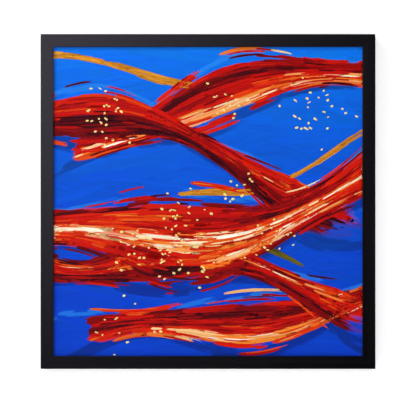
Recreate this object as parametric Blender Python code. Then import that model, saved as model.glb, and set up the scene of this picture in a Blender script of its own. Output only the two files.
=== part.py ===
"""A square painting on stretched canvas in a narrow black frame, as it hangs on a wall.

Metres, +Z up. The front faces -Y and the wall is the plane y = 0. The origin is on the wall,
where the nail carries the middle of the sawtooth hanger.
"""

import math

import bmesh
import bpy

MM = 0.001
GAP = 0.3 * MM

# Frame, from the photo's proportions on a 500 mm canvas
OUTER = 531 * MM
FACE_WIDTH = 20.5 * MM
FRAME_DEPTH = 30 * MM
LIP_THICKNESS = 5 * MM
WALL_THICKNESS = 14 * MM
OUTER_ARRIS = 0.8 * MM
SIGHT_ARRIS = 0.7 * MM
ARRIS_STEPS = 4

# Canvas and the bars that stretch it
CANVAS = 500 * MM
CANVAS_THICKNESS = 0.7 * MM
FLANGE_WIDTH = 25 * MM
BAR_WIDTH = 38 * MM
BAR_DEPTH = 18 * MM
BEAD_WIDTH = 5 * MM
BAR_FALL = 3 * MM
BAR_ARRIS = 1 * MM

# Hanging, measured from the nail at the origin
HANG_DROP = 9.5 * MM
WALL_SPACE = 4 * MM

# Wedges in the corners of the bars
WEDGE_THICKNESS = 2.8 * MM
WEDGE_BURIED = 14 * MM
WEDGE_PROUD = 7 * MM
WEDGE_TAIL = 12 * MM
WEDGE_TIP = 6 * MM
WEDGE_INSET = 3 * MM
WEDGE_SPACING = 3.6 * MM

# Staples
STAPLES_A_SIDE = 5
STAPLE_PITCH = 85 * MM
STAPLE_CROWN = 10.6 * MM
STAPLE_WIRE = 1.2 * MM
STAPLE_THICKNESS = 0.5 * MM
STAPLE_LEG = 6 * MM
STAPLE_INSET = 12 * MM

# V-shaped nails across the mitres of the frame, as distances in from the outer corner
CORNER_NAIL_INSETS = (3.4 * MM, 8.4 * MM)
CORNER_NAIL_DEPTH = 10 * MM
CORNER_NAIL_BACK = 2.4 * MM
CORNER_NAIL_SPREAD = 3.2 * MM
CORNER_NAIL_THICKNESS = 0.8 * MM
# The V's point is thicker than its legs by this factor
CORNER_NAIL_POINT = 1.5

# Clips that hold the canvas in the frame, and their screws
CLIP_OFFSET = 130 * MM
CLIP_WIDTH = 12 * MM
CLIP_THICKNESS = 1 * MM
CLIP_MARGIN = 1.5 * MM
CLIP_FOOT = 12 * MM
CLIP_RAMP = 2 * MM
CLIP_LEAN = 0.6 * MM
SCREW_SHANK_RADIUS = 1.4 * MM
SCREW_HEAD_RADIUS = 3 * MM
SCREW_HEAD_HEIGHT = 1.6 * MM
SCREW_CROWN_INSET = 0.4 * MM
SCREW_CROWN_DROP = 0.2 * MM
SCREW_LENGTH = 10 * MM
RECESS_LENGTH = 3.2 * MM
RECESS_WIDTH = 0.7 * MM
RECESS_DEPTH = 0.9 * MM

# Sawtooth hanger and its nails
TOOTH_PITCH = 1.8 * MM
TEETH = 14
TOOTH_DEPTH = 1.2 * MM
HANGER_TOP = 7.2 * MM
HANGER_THICKNESS = 0.9 * MM
HANGER_RISE = 1.9 * MM
HANGER_RAMP = 2 * MM
HANGER_FOOT = 7.5 * MM
NAIL_HEAD_RADIUS = 1.8 * MM
NAIL_HEAD_HEIGHT = 0.7 * MM
NAIL_CROWN_RADIUS = 1.44 * MM
NAIL_SHANK_RADIUS = 0.7 * MM
NAIL_LENGTH = 9 * MM

# Pads on the lower back corners
PAD_RADIUS = 5.6 * MM
PAD_ARRIS = 0.6 * MM
PAD_FROM_CORNER = 27.5 * MM

ROUND_STEPS = 16
SMALL_ROUND_STEPS = 12
WELD = 0.001 * MM

# Colour, roughness and metal of each finish
BLACK_PAINT = ("black_satin_paint", (0.022, 0.020, 0.025), 0.45, 0.0)
BARE_PINE = ("bare_pine", (0.62, 0.42, 0.22), 0.7, 0.0)
BARE_BEECH = ("bare_beech", (0.55, 0.36, 0.20), 0.65, 0.0)
PAINTED_CANVAS = ("painted_canvas", (0.005, 0.09, 0.60), 0.55, 0.0)
ZINC_STEEL = ("zinc_steel", (0.55, 0.55, 0.56), 0.35, 1.0)
GREY_RUBBER = ("grey_rubber", (0.12, 0.12, 0.12), 0.8, 0.0)

# Depths along Y, worked out from the wall forwards
FRAME_BACK = -WALL_SPACE
FRAME_FRONT = FRAME_BACK - FRAME_DEPTH
LIP_BACK = FRAME_FRONT + LIP_THICKNESS
CANVAS_FRONT = LIP_BACK + GAP
BAR_FRONT = CANVAS_FRONT + CANVAS_THICKNESS + GAP
BAR_BACK = BAR_FRONT + BAR_DEPTH
FLANGE_INNER = BAR_BACK + GAP
FLANGE_OUTER = FLANGE_INNER + CANVAS_THICKNESS

# Half widths from the middle of the picture
HALF = OUTER / 2
CANVAS_HALF = CANVAS / 2
BAR_HALF = CANVAS_HALF - CANVAS_THICKNESS - GAP
CENTRE_Z = HANG_DROP - HALF

SIDES = ("bottom", "right", "top", "left")


def clear_scene():
    for obj in list(bpy.data.objects):
        bpy.data.objects.remove(obj, do_unlink=True)


def principled(name, colour, roughness, metallic):
    made = bpy.data.materials.new(name)
    made.use_nodes = True
    shader = made.node_tree.nodes["Principled BSDF"]
    shader.inputs["Base Color"].default_value = (*colour, 1.0)
    shader.inputs["Roughness"].default_value = roughness
    shader.inputs["Metallic"].default_value = metallic
    made.diffuse_color = (*colour, 1.0)
    return made


def add_solid(bm, first, last):
    """A closed solid between two outlines that have the same number of points."""
    low = [bm.verts.new(point) for point in first]
    high = [bm.verts.new(point) for point in last]
    bm.faces.new(low)
    bm.faces.new(high)
    for i in range(len(low)):
        j = (i + 1) % len(low)
        bm.faces.new((low[i], low[j], high[j], high[i]))


def finished_mesh(name, bm):
    bmesh.ops.recalc_face_normals(bm, faces=bm.faces)
    mesh = bpy.data.meshes.new(name)
    bm.to_mesh(mesh)
    bm.free()
    return mesh


def mesh_between(name, pairs):
    """One mesh of a solid for each pair of outlines."""
    bm = bmesh.new()
    for first, last in pairs:
        add_solid(bm, first, last)
    return finished_mesh(name, bm)


def turned_mesh(name, profile, steps):
    """A round solid about the Y axis. The profile is (radius, y) points and starts and ends at radius 0."""
    bm = bmesh.new()
    verts = [bm.verts.new((radius, y, 0)) for radius, y in profile]
    edges = [bm.edges.new(pair) for pair in zip(verts, verts[1:])]
    bmesh.ops.spin(
        bm,
        geom=verts + edges,
        cent=(0, 0, 0),
        axis=(0, 1, 0),
        angle=2 * math.pi,
        steps=steps,
        use_merge=True,
    )
    bmesh.ops.remove_doubles(bm, verts=bm.verts, dist=WELD)
    return finished_mesh(name, bm)


def place(mesh, material, parent, location=(0, 0, 0), side=0):
    """An object of this mesh, turned about the Y axis by quarter turns: bottom, right, top, left."""
    obj = bpy.data.objects.new(mesh.name, mesh)
    bpy.context.collection.objects.link(obj)
    obj.data.materials.append(material)
    obj.location = location
    obj.rotation_euler = (0, -side * math.pi / 2, 0)
    obj.parent = parent
    return obj


def cut(target, mesh, parent, location=(0, 0, 0), side=0):
    """Takes a hidden cutter's shape out of the target."""
    cutter = bpy.data.objects.new(mesh.name, mesh)
    bpy.context.collection.objects.link(cutter)
    cutter.location = location
    cutter.rotation_euler = (0, -side * math.pi / 2, 0)
    cutter.parent = parent
    cutter.hide_render = True
    cutter.display_type = "WIRE"
    boolean = target.modifiers.new("pockets", "BOOLEAN")
    boolean.operation = "DIFFERENCE"
    boolean.object = cutter


def shade_round(obj):
    obj.data.shade_smooth()
    obj.data.set_sharp_from_angle(angle=math.radians(35))


def corner_arc(centre, radius, start, steps):
    """Points of a quarter circle from the start angle, in quarter turns."""
    points = []
    for i in range(steps + 1):
        angle = (start + i / steps) * math.pi / 2
        points.append((centre[0] + radius * math.cos(angle), centre[1] + radius * math.sin(angle)))
    return points


def mitred(profile, half, clear):
    """The two end outlines of a bar along X with ends at 45 degrees.

    The profile is (inward, y) points, with inward measured from the bar's outer edge.
    """
    first = [(-(half - inward - clear), y, inward - half) for inward, y in profile]
    last = [(half - inward - clear, y, inward - half) for inward, y in profile]
    return first, last


def box_outlines(x, y, z):
    """The two outlines of a box from its lowest and highest x, y and z."""
    first = [(x[0], y[0], z[0]), (x[1], y[0], z[0]), (x[1], y[0], z[1]), (x[0], y[0], z[1])]
    last = [(point[0], y[1], point[2]) for point in first]
    return first, last


def slab_outlines(outline, low, high):
    """The two outlines of a flat plate: (x, z) points between two depths."""
    return [(x, low, z) for x, z in outline], [(x, high, z) for x, z in outline]


def round_outlines(x, z, radius, low, high, steps):
    """The two outlines of a round hole along Y."""
    turns = [2 * math.pi * i / steps for i in range(steps)]
    outline = [(x + radius * math.cos(a), z + radius * math.sin(a)) for a in turns]
    return slab_outlines(outline, low, high)


def mirrored(outline):
    return [(-x, z) for x, z in outline]


def rail_profile():
    """Section of a frame rail: rounded front edges, a lip over the canvas and a wall beside it."""
    outer = corner_arc((OUTER_ARRIS, FRAME_FRONT + OUTER_ARRIS), OUTER_ARRIS, 2, ARRIS_STEPS)
    sight = corner_arc(
        (FACE_WIDTH - SIGHT_ARRIS, FRAME_FRONT + SIGHT_ARRIS), SIGHT_ARRIS, 3, ARRIS_STEPS
    )
    back = [
        (FACE_WIDTH, LIP_BACK),
        (WALL_THICKNESS, LIP_BACK),
        (WALL_THICKNESS, FRAME_BACK),
        (0, FRAME_BACK),
    ]
    return outer + sight + back


def corner_nail_outline(inset, spare):
    """V shape on the mitre at the right-hand corner, grown by the spare gap for its pocket."""
    reach = HALF - inset
    half_thick = CORNER_NAIL_THICKNESS / 2 + spare
    back = CORNER_NAIL_BACK + spare
    spread = CORNER_NAIL_SPREAD + spare
    # (along, across) the mitre, with along pointing out of the frame
    shape = [
        (half_thick * CORNER_NAIL_POINT, 0),
        (half_thick - back, spread + half_thick),
        (-half_thick - back, spread - half_thick / 2),
        (-half_thick * CORNER_NAIL_POINT, 0),
        (-half_thick - back, -spread + half_thick / 2),
        (half_thick - back, -spread - half_thick),
    ]
    turn = math.sqrt(0.5)
    return [
        (reach + (along + across) * turn, -reach + (across - along) * turn)
        for along, across in shape
    ]


def screw_places():
    """(x, z) of the clip screws on an upright rail, in the frame of its side."""
    return [(end * CLIP_OFFSET, WALL_THICKNESS / 2 - HALF) for end in (-1, 1)]


def hanger_middle():
    return (HANGER_TOP - TOOTH_DEPTH) / 2


def hanger_half():
    return TEETH * TOOTH_PITCH / 2 + HANGER_RAMP + HANGER_FOOT


def hanger_nail_reach():
    return hanger_half() - HANGER_FOOT / 2


def rail_pockets(side):
    """Pockets for the corner nails, and pilot holes for the screws or the hanger's nails."""
    behind = FRAME_BACK + MM
    pockets = []
    for inset in CORNER_NAIL_INSETS:
        outline = corner_nail_outline(inset, GAP)
        floor = FRAME_BACK - CORNER_NAIL_DEPTH - GAP
        pockets.append(slab_outlines(outline, floor, behind))
        pockets.append(slab_outlines(mirrored(outline), floor, behind))
    if SIDES[side] in ("left", "right"):
        floor = FRAME_BACK - SCREW_LENGTH - GAP
        for x, z in screw_places():
            pockets.append(
                round_outlines(x, z, SCREW_SHANK_RADIUS + GAP, floor, behind, SMALL_ROUND_STEPS)
            )
    if SIDES[side] == "top":
        floor = FRAME_BACK - NAIL_LENGTH - GAP
        for x in (-hanger_nail_reach(), hanger_nail_reach()):
            z = CENTRE_Z - hanger_middle()
            pockets.append(
                round_outlines(x, z, NAIL_SHANK_RADIUS + GAP, floor, behind, SMALL_ROUND_STEPS)
            )
    return pockets


def make_rails(root, centre, paint):
    clear = GAP / 2 * math.sqrt(2)
    for side, word in enumerate(SIDES):
        mesh = mesh_between("rail_" + word, [mitred(rail_profile(), HALF, clear)])
        rail = place(mesh, paint, root, centre, side)
        cut(rail, mesh_between("pockets_" + word, rail_pockets(side)), root, centre, side)
        shade_round(rail)


def make_corner_nails(root, centre, steel):
    number = 0
    for side in range(len(SIDES)):
        for inset in CORNER_NAIL_INSETS:
            number += 1
            outline = corner_nail_outline(inset, 0)
            plate = slab_outlines(outline, FRAME_BACK - CORNER_NAIL_DEPTH, FRAME_BACK)
            mesh = mesh_between(f"corner_nail_{number}", [plate])
            place(mesh, steel, root, centre, side)


def bar_profile():
    """Section of a stretcher bar: a bead at the outer edge, then a face that falls away from the canvas."""
    return [
        (0, BAR_BACK),
        (0, BAR_FRONT + BAR_ARRIS),
        (BAR_ARRIS, BAR_FRONT),
        (BEAD_WIDTH, BAR_FRONT),
        (BEAD_WIDTH + BAR_FALL, BAR_FRONT + BAR_FALL / 2),
        (BAR_WIDTH, BAR_FRONT + BAR_FALL),
        (BAR_WIDTH, BAR_BACK),
    ]


def wedge_outline(end, spare):
    """A wedge in the bar's inner edge at one end, tip inside, grown by the spare gap for its slot."""
    edge = BAR_WIDTH - BAR_HALF
    straight = BAR_HALF - BAR_WIDTH - WEDGE_INSET + spare
    tail = straight - WEDGE_TAIL - 2 * spare
    tip = straight - WEDGE_TIP - 2 * spare
    outline = [
        (straight, edge - WEDGE_BURIED - spare),
        (straight, edge + WEDGE_PROUD),
        (tail, edge + WEDGE_PROUD),
        (tip, edge - WEDGE_BURIED - spare),
    ]
    return outline if end > 0 else mirrored(outline)


def wedge_depths(end, spare):
    """The wedges of a corner cross each other at two depths."""
    middle = (BAR_FRONT + BAR_FALL + BAR_BACK) / 2 - end * WEDGE_SPACING / 2
    return middle - WEDGE_THICKNESS / 2 - spare, middle + WEDGE_THICKNESS / 2 + spare


def staple_middles():
    """x of the staples along a side."""
    first = -(STAPLES_A_SIDE - 1) / 2 * STAPLE_PITCH
    return [first + i * STAPLE_PITCH for i in range(STAPLES_A_SIDE)]


def leg_pockets(low, high):
    """Holes for the staples' legs along one side, between two depths."""
    z = STAPLE_INSET - CANVAS_HALF
    half_wire = STAPLE_WIRE / 2 + GAP
    pockets = []
    for middle in staple_middles():
        for end in (-1, 1):
            x = middle + end * (STAPLE_CROWN - STAPLE_THICKNESS) / 2
            half_leg = STAPLE_THICKNESS / 2 + GAP
            pockets.append(
                box_outlines((x - half_leg, x + half_leg), (low, high), (z - half_wire, z + half_wire))
            )
    return pockets


def staple_tip():
    return FLANGE_OUTER + GAP - STAPLE_LEG


def make_bars(root, centre, pine):
    clear = GAP / 2 * math.sqrt(2)
    for side, word in enumerate(SIDES):
        mesh = mesh_between("stretcher_" + word, [mitred(bar_profile(), BAR_HALF, clear)])
        bar = place(mesh, pine, root, centre, side)
        slots = [slab_outlines(wedge_outline(end, GAP), *wedge_depths(end, GAP)) for end in (-1, 1)]
        slots += leg_pockets(staple_tip() - GAP, BAR_BACK + MM)
        cut(bar, mesh_between("slots_" + word, slots), root, centre, side)
        shade_round(bar)


def make_wedges(root, centre, beech):
    number = 0
    for side in range(len(SIDES)):
        for end in (-1, 1):
            number += 1
            plate = slab_outlines(wedge_outline(end, 0), *wedge_depths(end, 0))
            place(mesh_between(f"wedge_{number}", [plate]), beech, root, centre, side)


def canvas_mesh():
    """One sheet over the front and the sides, turned in behind the bars all round."""
    inner = CANVAS_HALF - CANVAS_THICKNESS
    flange = CANVAS_HALF - FLANGE_WIDTH
    rings = [
        (CANVAS_HALF, CANVAS_FRONT),
        (CANVAS_HALF, FLANGE_OUTER),
        (flange, FLANGE_OUTER),
        (flange, FLANGE_INNER),
        (inner, FLANGE_INNER),
        (inner, CANVAS_FRONT + CANVAS_THICKNESS),
    ]
    bm = bmesh.new()
    loops = []
    for half, y in rings:
        corners = ((-half, -half), (half, -half), (half, half), (-half, half))
        loops.append([bm.verts.new((x, y, z)) for x, z in corners])
    bm.faces.new(loops[0])
    bm.faces.new(loops[-1])
    for near, far in zip(loops, loops[1:]):
        for i in range(4):
            j = (i + 1) % 4
            bm.faces.new((near[i], near[j], far[j], far[i]))
    return finished_mesh("canvas", bm)


def make_canvas(root, centre, cloth):
    canvas = place(canvas_mesh(), cloth, root, centre)
    for side, word in enumerate(SIDES):
        holes = leg_pockets(FLANGE_INNER - GAP / 2, FLANGE_OUTER + GAP / 2)
        cut(canvas, mesh_between("staple_holes_" + word, holes), root, centre, side)


def staple_mesh(name, middle):
    """Flat wire bent into a crown and two legs."""
    crown_back = FLANGE_OUTER + GAP + STAPLE_THICKNESS
    crown_front = FLANGE_OUTER + GAP
    wide = STAPLE_CROWN / 2
    narrow = wide - STAPLE_THICKNESS
    shape = [
        (-wide, crown_back),
        (-wide, staple_tip()),
        (-narrow, staple_tip()),
        (-narrow, crown_front),
        (narrow, crown_front),
        (narrow, staple_tip()),
        (wide, staple_tip()),
        (wide, crown_back),
    ]
    z = STAPLE_INSET - CANVAS_HALF
    first = [(middle + x, y, z - STAPLE_WIRE / 2) for x, y in shape]
    last = [(middle + x, y, z + STAPLE_WIRE / 2) for x, y in shape]
    return mesh_between(name, [(first, last)])


def make_staples(root, centre, steel):
    number = 0
    for side in range(len(SIDES)):
        for middle in staple_middles():
            number += 1
            place(staple_mesh(f"staple_{number:02d}", middle), steel, root, centre, side)


def clip_mesh(name, x):
    """A strip with one foot on the frame's back and the other on the stretched canvas."""
    foot = FRAME_BACK + GAP
    toe = FLANGE_OUTER + GAP
    bend = WALL_THICKNESS + GAP
    landing = bend + CLIP_RAMP
    tip = landing + CLIP_FOOT
    profile = [
        (CLIP_MARGIN, foot),
        (bend, foot),
        (landing, toe),
        (tip, toe),
        (tip, toe + CLIP_THICKNESS),
        (landing + CLIP_LEAN, toe + CLIP_THICKNESS),
        (bend + CLIP_LEAN, foot + CLIP_THICKNESS),
        (CLIP_MARGIN, foot + CLIP_THICKNESS),
    ]
    first = [(x - CLIP_WIDTH / 2, y, inward - HALF) for inward, y in profile]
    last = [(x + CLIP_WIDTH / 2, y, inward - HALF) for inward, y in profile]
    return mesh_between(name, [(first, last)])


def screw_profile():
    """Domed head over a plain shank with a point."""
    seat = FRAME_BACK + GAP + CLIP_THICKNESS + GAP
    crown = seat + SCREW_HEAD_HEIGHT
    tip = FRAME_BACK - SCREW_LENGTH
    shoulder = seat + SCREW_HEAD_HEIGHT / 2
    return [
        (0, tip),
        (SCREW_SHANK_RADIUS / 2, tip),
        (SCREW_SHANK_RADIUS, tip + SCREW_SHANK_RADIUS),
        (SCREW_SHANK_RADIUS, seat),
        (SCREW_HEAD_RADIUS, seat),
        (SCREW_HEAD_RADIUS, shoulder),
        (SCREW_HEAD_RADIUS - SCREW_CROWN_INSET, crown - SCREW_CROWN_DROP),
        (SCREW_HEAD_RADIUS / 2, crown),
        (0, crown),
    ]


def recess_mesh(name):
    """A cross for the screwdriver, as one outline."""
    crown = FRAME_BACK + 2 * GAP + CLIP_THICKNESS + SCREW_HEAD_HEIGHT
    long = RECESS_LENGTH / 2
    short = RECESS_WIDTH / 2
    outline = []
    for turn in range(4):
        for x, z in ((long, -short), (long, short), (short, short)):
            for _ in range(turn):
                x, z = -z, x
            outline.append((x, z))
    return mesh_between(name, [slab_outlines(outline, crown - RECESS_DEPTH, crown + MM)])


def make_clips(root, centre, steel):
    number = 0
    for side, word in enumerate(SIDES):
        if word not in ("left", "right"):
            continue
        for x, z in screw_places():
            number += 1
            clip = place(clip_mesh(f"offset_clip_{number}", x), steel, root, centre, side)
            hole = round_outlines(
                x, z, SCREW_SHANK_RADIUS + GAP, FRAME_BACK, 0, SMALL_ROUND_STEPS
            )
            cut(clip, mesh_between(f"clip_hole_{number}", [hole]), root, centre, side)
            turn = side * math.pi / 2
            where = (
                x * math.cos(turn) - z * math.sin(turn),
                0,
                CENTRE_Z + x * math.sin(turn) + z * math.cos(turn),
            )
            screw = place(
                turned_mesh(f"clip_screw_{number}", screw_profile(), ROUND_STEPS), steel, root, where
            )
            cut(screw, recess_mesh(f"recess_{number}"), root, where)
            shade_round(screw)


def hanger_mesh():
    """A strip raised in the middle, with teeth along the lower edge of the raised part."""
    foot = FRAME_BACK + GAP
    raised = TEETH * TOOTH_PITCH / 2
    ramp = raised + HANGER_RAMP
    stations = [(-hanger_half(), foot, -TOOTH_DEPTH), (-ramp, foot, -TOOTH_DEPTH)]
    for i in range(2 * TEETH + 1):
        # Tips at even steps from the ends, and a valley in the very middle
        x = -raised + i * TOOTH_PITCH / 2
        stations.append((x, foot + HANGER_RISE, 0 if i % 2 == TEETH % 2 else -TOOTH_DEPTH))
    stations += [(ramp, foot, -TOOTH_DEPTH), (hanger_half(), foot, -TOOTH_DEPTH)]
    bm = bmesh.new()
    loops = []
    for x, y, low in stations:
        corners = ((y, low), (y + HANGER_THICKNESS, low), (y + HANGER_THICKNESS, HANGER_TOP), (y, HANGER_TOP))
        loops.append([bm.verts.new((x, depth, z)) for depth, z in corners])
    bm.faces.new(loops[0])
    bm.faces.new(loops[-1])
    for near, far in zip(loops, loops[1:]):
        for i in range(4):
            j = (i + 1) % 4
            bm.faces.new((near[i], near[j], far[j], far[i]))
    return finished_mesh("hanger", bm)


def nail_profile():
    seat = FRAME_BACK + GAP + HANGER_THICKNESS + GAP
    crown = seat + NAIL_HEAD_HEIGHT
    tip = FRAME_BACK - NAIL_LENGTH
    return [
        (0, tip),
        (NAIL_SHANK_RADIUS, tip + 2 * NAIL_SHANK_RADIUS),
        (NAIL_SHANK_RADIUS, seat),
        (NAIL_HEAD_RADIUS, seat),
        (NAIL_CROWN_RADIUS, crown),
        (0, crown),
    ]


def make_hanger(root, steel):
    hanger = place(hanger_mesh(), steel, root)
    holes = []
    for number, x in enumerate((-hanger_nail_reach(), hanger_nail_reach()), 1):
        holes.append(
            round_outlines(
                x, hanger_middle(), NAIL_SHANK_RADIUS + GAP, FRAME_BACK, 0, SMALL_ROUND_STEPS
            )
        )
        mesh = turned_mesh(f"hanger_nail_{number}", nail_profile(), SMALL_ROUND_STEPS)
        nail = place(mesh, steel, root, (x, 0, hanger_middle()))
        shade_round(nail)
    cut(hanger, mesh_between("hanger_holes", holes), root)


def make_pads(root, rubber):
    profile = [
        (0, FRAME_BACK + GAP),
        (PAD_RADIUS, FRAME_BACK + GAP),
        (PAD_RADIUS, -PAD_ARRIS),
        (PAD_RADIUS - PAD_ARRIS, 0),
        (0, 0),
    ]
    height = CENTRE_Z - HALF + WALL_THICKNESS / 2
    for number, end in enumerate((-1, 1), 1):
        mesh = turned_mesh(f"wall_pad_{number}", profile, ROUND_STEPS)
        pad = place(mesh, rubber, root, (end * (HALF - PAD_FROM_CORNER), 0, height))
        shade_round(pad)


def main():
    clear_scene()
    root = bpy.data.objects.new("painting", None)
    bpy.context.collection.objects.link(root)
    centre = (0, 0, CENTRE_Z)
    steel = principled(*ZINC_STEEL)
    make_rails(root, centre, principled(*BLACK_PAINT))
    make_corner_nails(root, centre, steel)
    make_bars(root, centre, principled(*BARE_PINE))
    make_wedges(root, centre, principled(*BARE_BEECH))
    make_canvas(root, centre, principled(*PAINTED_CANVAS))
    make_staples(root, centre, steel)
    make_clips(root, centre, steel)
    make_hanger(root, steel)
    make_pads(root, principled(*GREY_RUBBER))


main()
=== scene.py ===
# A square painting on stretched canvas in a narrow black frame, seen straight on.
# Metres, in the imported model's frame: the front faces -Y, the wall is the plane y = 0, +Z up.

from collections import namedtuple
from math import cos, hypot, pi, radians, sin

import bmesh
import bpy
import numpy as np
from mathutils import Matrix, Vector


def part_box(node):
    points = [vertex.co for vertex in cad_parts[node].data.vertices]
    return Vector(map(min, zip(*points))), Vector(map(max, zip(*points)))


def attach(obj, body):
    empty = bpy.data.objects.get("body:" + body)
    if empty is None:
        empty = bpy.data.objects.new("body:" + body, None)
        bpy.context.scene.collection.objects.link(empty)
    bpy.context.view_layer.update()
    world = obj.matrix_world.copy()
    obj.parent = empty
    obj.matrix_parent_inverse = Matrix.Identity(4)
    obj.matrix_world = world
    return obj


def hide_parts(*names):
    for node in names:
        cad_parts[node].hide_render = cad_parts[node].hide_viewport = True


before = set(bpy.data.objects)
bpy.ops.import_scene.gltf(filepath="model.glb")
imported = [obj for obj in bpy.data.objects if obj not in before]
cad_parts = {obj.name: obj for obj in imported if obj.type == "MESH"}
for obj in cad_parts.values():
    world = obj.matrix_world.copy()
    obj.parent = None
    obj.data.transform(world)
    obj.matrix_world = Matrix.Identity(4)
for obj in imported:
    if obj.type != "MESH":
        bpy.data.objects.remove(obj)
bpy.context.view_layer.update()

MM = 0.001
SIDES = ("bottom", "right", "top", "left")

# Places read from the frame
rail_low, rail_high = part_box("rail_right")
HALF = rail_high.x
SIGHT = rail_low.x
FRAME_FRONT = rail_low.y
FRAME_BACK = rail_high.y
CENTRE_Z = (rail_low.z + rail_high.z) / 2
canvas_low, canvas_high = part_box("canvas")
CANVAS_HALF = canvas_high.x
CANVAS_FRONT = canvas_low.y
FLANGE_OUTER = canvas_high.y
bar_low, bar_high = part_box("stretcher_right")
BAR_HALF = bar_high.x
BAR_WIDTH = bar_high.x - bar_low.x
BAR_FRONT = bar_low.y
BAR_BACK = bar_high.y

# Meshes
WELD = 0.005 * MM
SPIN_WELD = 0.001 * MM
FLAT_ANGLE = 1
EDGE_ANGLE = 25
SMOOTH_ANGLE = 32
ARRIS_STEPS = 4
# Where in the wood each piece is cut from: a shift for each step of its seed, and the first seeds
GRAIN_SHIFT = np.array((0.83, 0.37, 0.59))
RAIL_SEED = 1
BAR_SEED = 5
WEDGE_SEED = 10

# Frame rails
RAIL_WALL = 14 * MM
LIP_THICKNESS = 5 * MM
OUTER_ARRIS = 0.8 * MM
SIGHT_ARRIS = 0.7 * MM
BACK_ARRIS = 0.5 * MM
MITRE_GAP = 0.005 * MM
MITRE_EASE = 0.08 * MM
POCKET_SPARE = 0.2 * MM
RAIL_STATIONS = 40

# Stretcher bars and wedges
BEAD_WIDTH = 5 * MM
BAR_FALL = 3 * MM
BAR_ARRIS = 0.9 * MM
BAR_STATIONS = 24
WEDGE_ARRIS = 0.35 * MM
WEDGE_STEPS = 3

# Cloth
CLOTH_THICKNESS = 0.6 * MM
CLOTH_BEND = 1.4 * MM
CLOTH_CORNER = 1.5 * MM
CLOTH_ANGLE = 50
FLANGE_WIDTH = 25 * MM
# Rings of the cloth, the first at this share of the way across the face or the flange
FACE_RINGS = (0.04, 1, 24)
FLANGE_RINGS = (0.15, 1, 8)
BEND_RINGS = 5
RING_STEPS = 64
CORNER_STEPS = 4
STAPLE_PITCH = 85 * MM
PUCKER = 0.22 * MM
FOLD_RISE = 0.8 * MM
FOLD_REACH = 11 * MM
PLY_RISE = 0.45 * MM
PLY_EASE = 1.2 * MM
LAYER_SHIFT = 0.31
FRAY = 0.25 * MM
FRAY_FROM = 0.85
FRAY_WAVES = 6
FRAY_TURNS = 90
THREADS_A_SIDE = 70
THREAD_POINTS = 6
THREAD_RADIUS = 0.14 * MM
THREAD_LENGTHS = (1.6 * MM, 5.0 * MM)
THREAD_CLEAR = 4 * MM
THREAD_ROOT = 1.0 * MM
THREAD_TOP = 0.62 * MM
THREAD_FALL = 0.42 * MM

# Paint film and the raised brush marks on it
SEED = 20
FILM_HALF = 247.5 * MM
FILM_POINTS = 401
FILM_BASE = 0.06 * MM
FILM_UNDER_LIP = 0.24 * MM
FILM_LIMIT = 2.4 * MM
FILM_CLEAR = 0.6 * MM
FILM_SLOPE = 3 * MM
FILM_THIN = 0.5 * MM
STROKE_LANE = 0.7 * MM
STROKE_SHIFT = 0.413
EDGE_KNOTS = 7
MARK_EDGE = FILM_HALF - 1 * MM
MARK_SUNK = 0.06 * MM
MARK_LANE = 0.9 * MM
MARK_LANES = (5, 10)
MARK_STATION = 3.5 * MM
MARK_STATIONS = (6, 26)
MARK_SHORTEST = 2.5 * MM
MARK_TRIANGLES = 180000
HALF_STEP = 0.5 * MM

# Steel pieces shaped as their solids: piece, node, rounding of the edges and its steps
CORNER_NAIL = ("driven_nail_", "corner_nail_", 0.15 * MM, 2)
STAPLE = ("wire_staple_", "staple_", 0.14 * MM, 2)
CLIP = ("bent_clip_", "offset_clip_", 0.3 * MM, 3)
CLIP_SCREW = ("cross_head_screw_", "clip_screw_", 0.12 * MM, 2)
HANGER = ("sawtooth_hanger", "hanger", 0.14 * MM, 2)
HANGER_PIN = ("hanger_pin_", "hanger_nail_", 0.12 * MM, 2)

# Pads
PAD_SOFTNESS = 0.12
PAD_STEPS = 48

# Stage and surroundings
WALL_CLEAR = 0.3 * MM
WALL_LIFT = 0.30
WALL_REACH = 3.0
FLOOR_LIFT = 0.24
FLOOR_LEVEL = -1.4
FLOOR_REACH = 9.0
WHITE = (1.0, 1.0, 1.0)
AIR_TINT = (0.95, 0.975, 1.0, 1.0)
AIR_SEEN = 0.97
# Brightness of the surroundings by direction, from the camera's side (-1) to behind the wall (1)
FILL_TOP = 1.1
FILL = ((-1.0, 0.0), (-0.45, 0.005), (-0.25, 0.3), (-0.05, 0.9), (0.10, 1.1), (0.30, 0.9), (1.0, 0.8))

# Lamps: place from the picture's middle, size, power, tint, and the kind of light they don't give
LAMPS = (
    ("key", (-1.6, -1.6, 1.7), 1.1, 60, WHITE, "glossy"),
    ("front", (0.4, -3.6, 0.4), 2.4, 54, WHITE, "glossy"),
    ("gloss_card", (-0.60, -1.2, 0.42), 1.1, 7.6, (0.89, 0.80, 1.0), "diffuse"),
    ("rear", (1.1, 1.9, 1.0), 1.2, 20, WHITE, "none"),
)

# Camera, from the photo's 416 x 403 pixels
PHOTO_WIDTH = 416
FRAME_PIXELS = 335.0
CAMERA_DISTANCE = 4.0
SENSOR = 36.0
SIGHT_RANGE = (0.05, 50)


def from_srgb(red, green, blue):
    """Linear colour of an 8-bit sRGB colour."""
    levels = np.array((red, green, blue)) / 255
    return np.where(levels <= 0.04045, levels / 12.92, ((levels + 0.055) / 1.055) ** 2.4)


# Meshes

def made_mesh(name, bm):
    bmesh.ops.recalc_face_normals(bm, faces=bm.faces)
    mesh = bpy.data.meshes.new(name)
    bm.to_mesh(mesh)
    bm.free()
    return mesh


def add(name, data):
    """A new object in the scene."""
    obj = bpy.data.objects.new(name, data)
    bpy.context.scene.collection.objects.link(obj)
    return obj


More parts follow.
